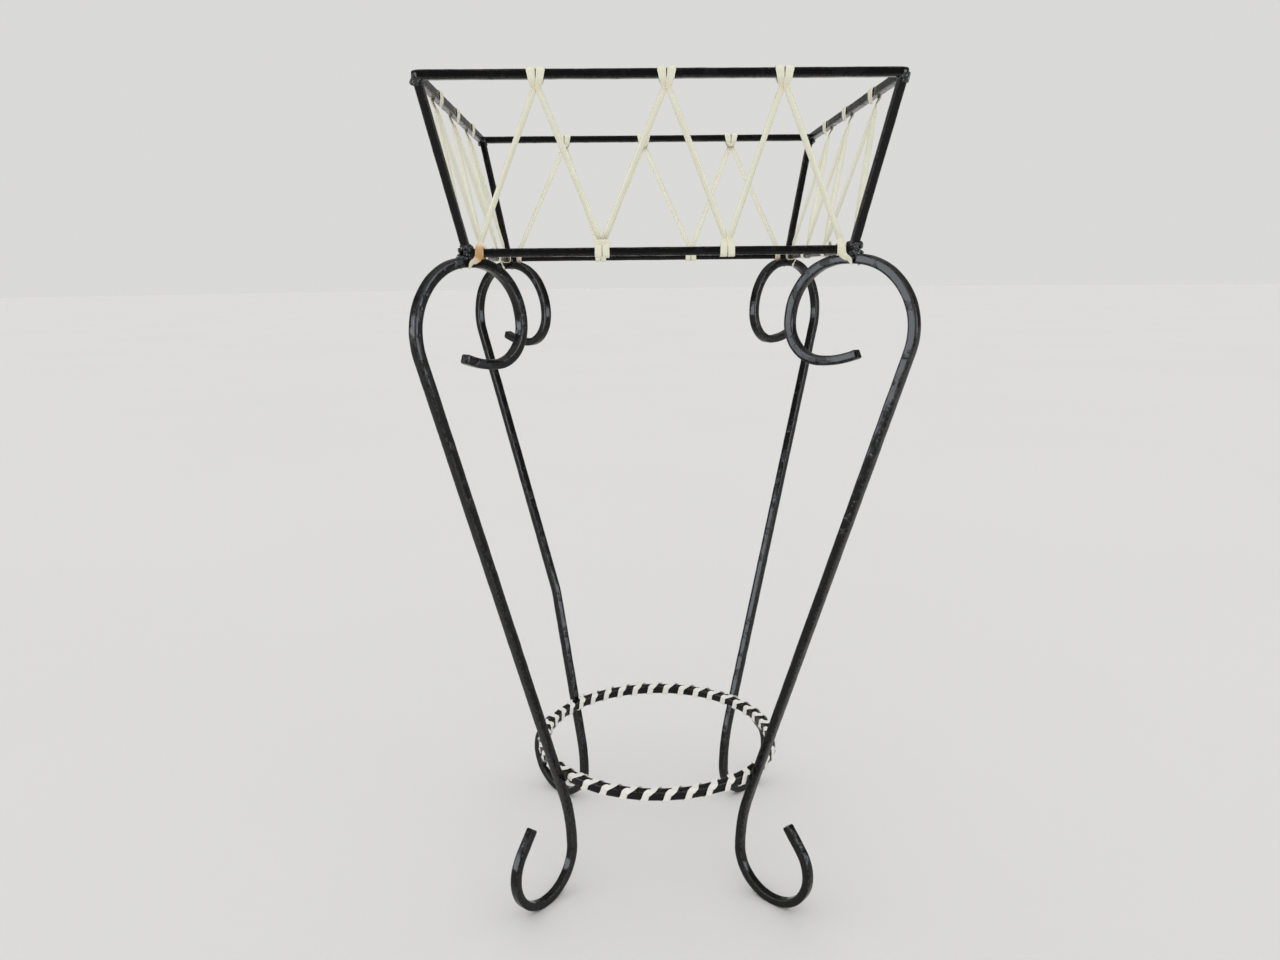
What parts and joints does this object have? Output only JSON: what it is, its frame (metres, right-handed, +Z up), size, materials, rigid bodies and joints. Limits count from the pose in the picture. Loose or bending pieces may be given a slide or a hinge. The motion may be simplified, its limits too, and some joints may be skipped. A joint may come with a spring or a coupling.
{
  "type": "plant pot stand",
  "caption": "Free-standing wrought-iron plant stand: an open square basket laced with plastic strip, on scroll legs tied by a wrapped ring.",
  "frame": {"origin": "on the floor, under the middle of the basket", "axes": "+Z up; -Y is the front, +X the right side seen from the front"},
  "size_m": [0.328, 0.3318, 0.6184],
  "materials": {
    "black_iron": "hand-brushed gloss black enamel on forged bar, worn and uneven",
    "weld_metal": "lumpy weld beads under gloss black enamel, with bare grey high spots",
    "cream_strip": "aged cream vinyl strip, half gloss, yellowed at the corner ties",
    "white_strip": "white vinyl strip, half gloss, folded over the bar's edges"
  },
  "bodies": {
    "root": {"top_frame": "black_iron", "bottom_frame": "black_iron", "strut_front_left": "black_iron", "strut_front_right": "black_iron", "strut_rear_right": "black_iron", "strut_rear_left": "black_iron", "leg_front_left": "black_iron", "leg_front_right": "black_iron", "leg_rear_right": "black_iron", "leg_rear_left": "black_iron", "ring": "black_iron", "ring_wrap": "white_strip", "lacing_front": "cream_strip", "lacing_right": "cream_strip", "lacing_rear": "cream_strip", "lacing_left": "cream_strip", "top_corner_welds": "weld_metal", "bottom_corner_welds": "weld_metal", "ring_welds": "weld_metal"}
  },
  "joints": []
}
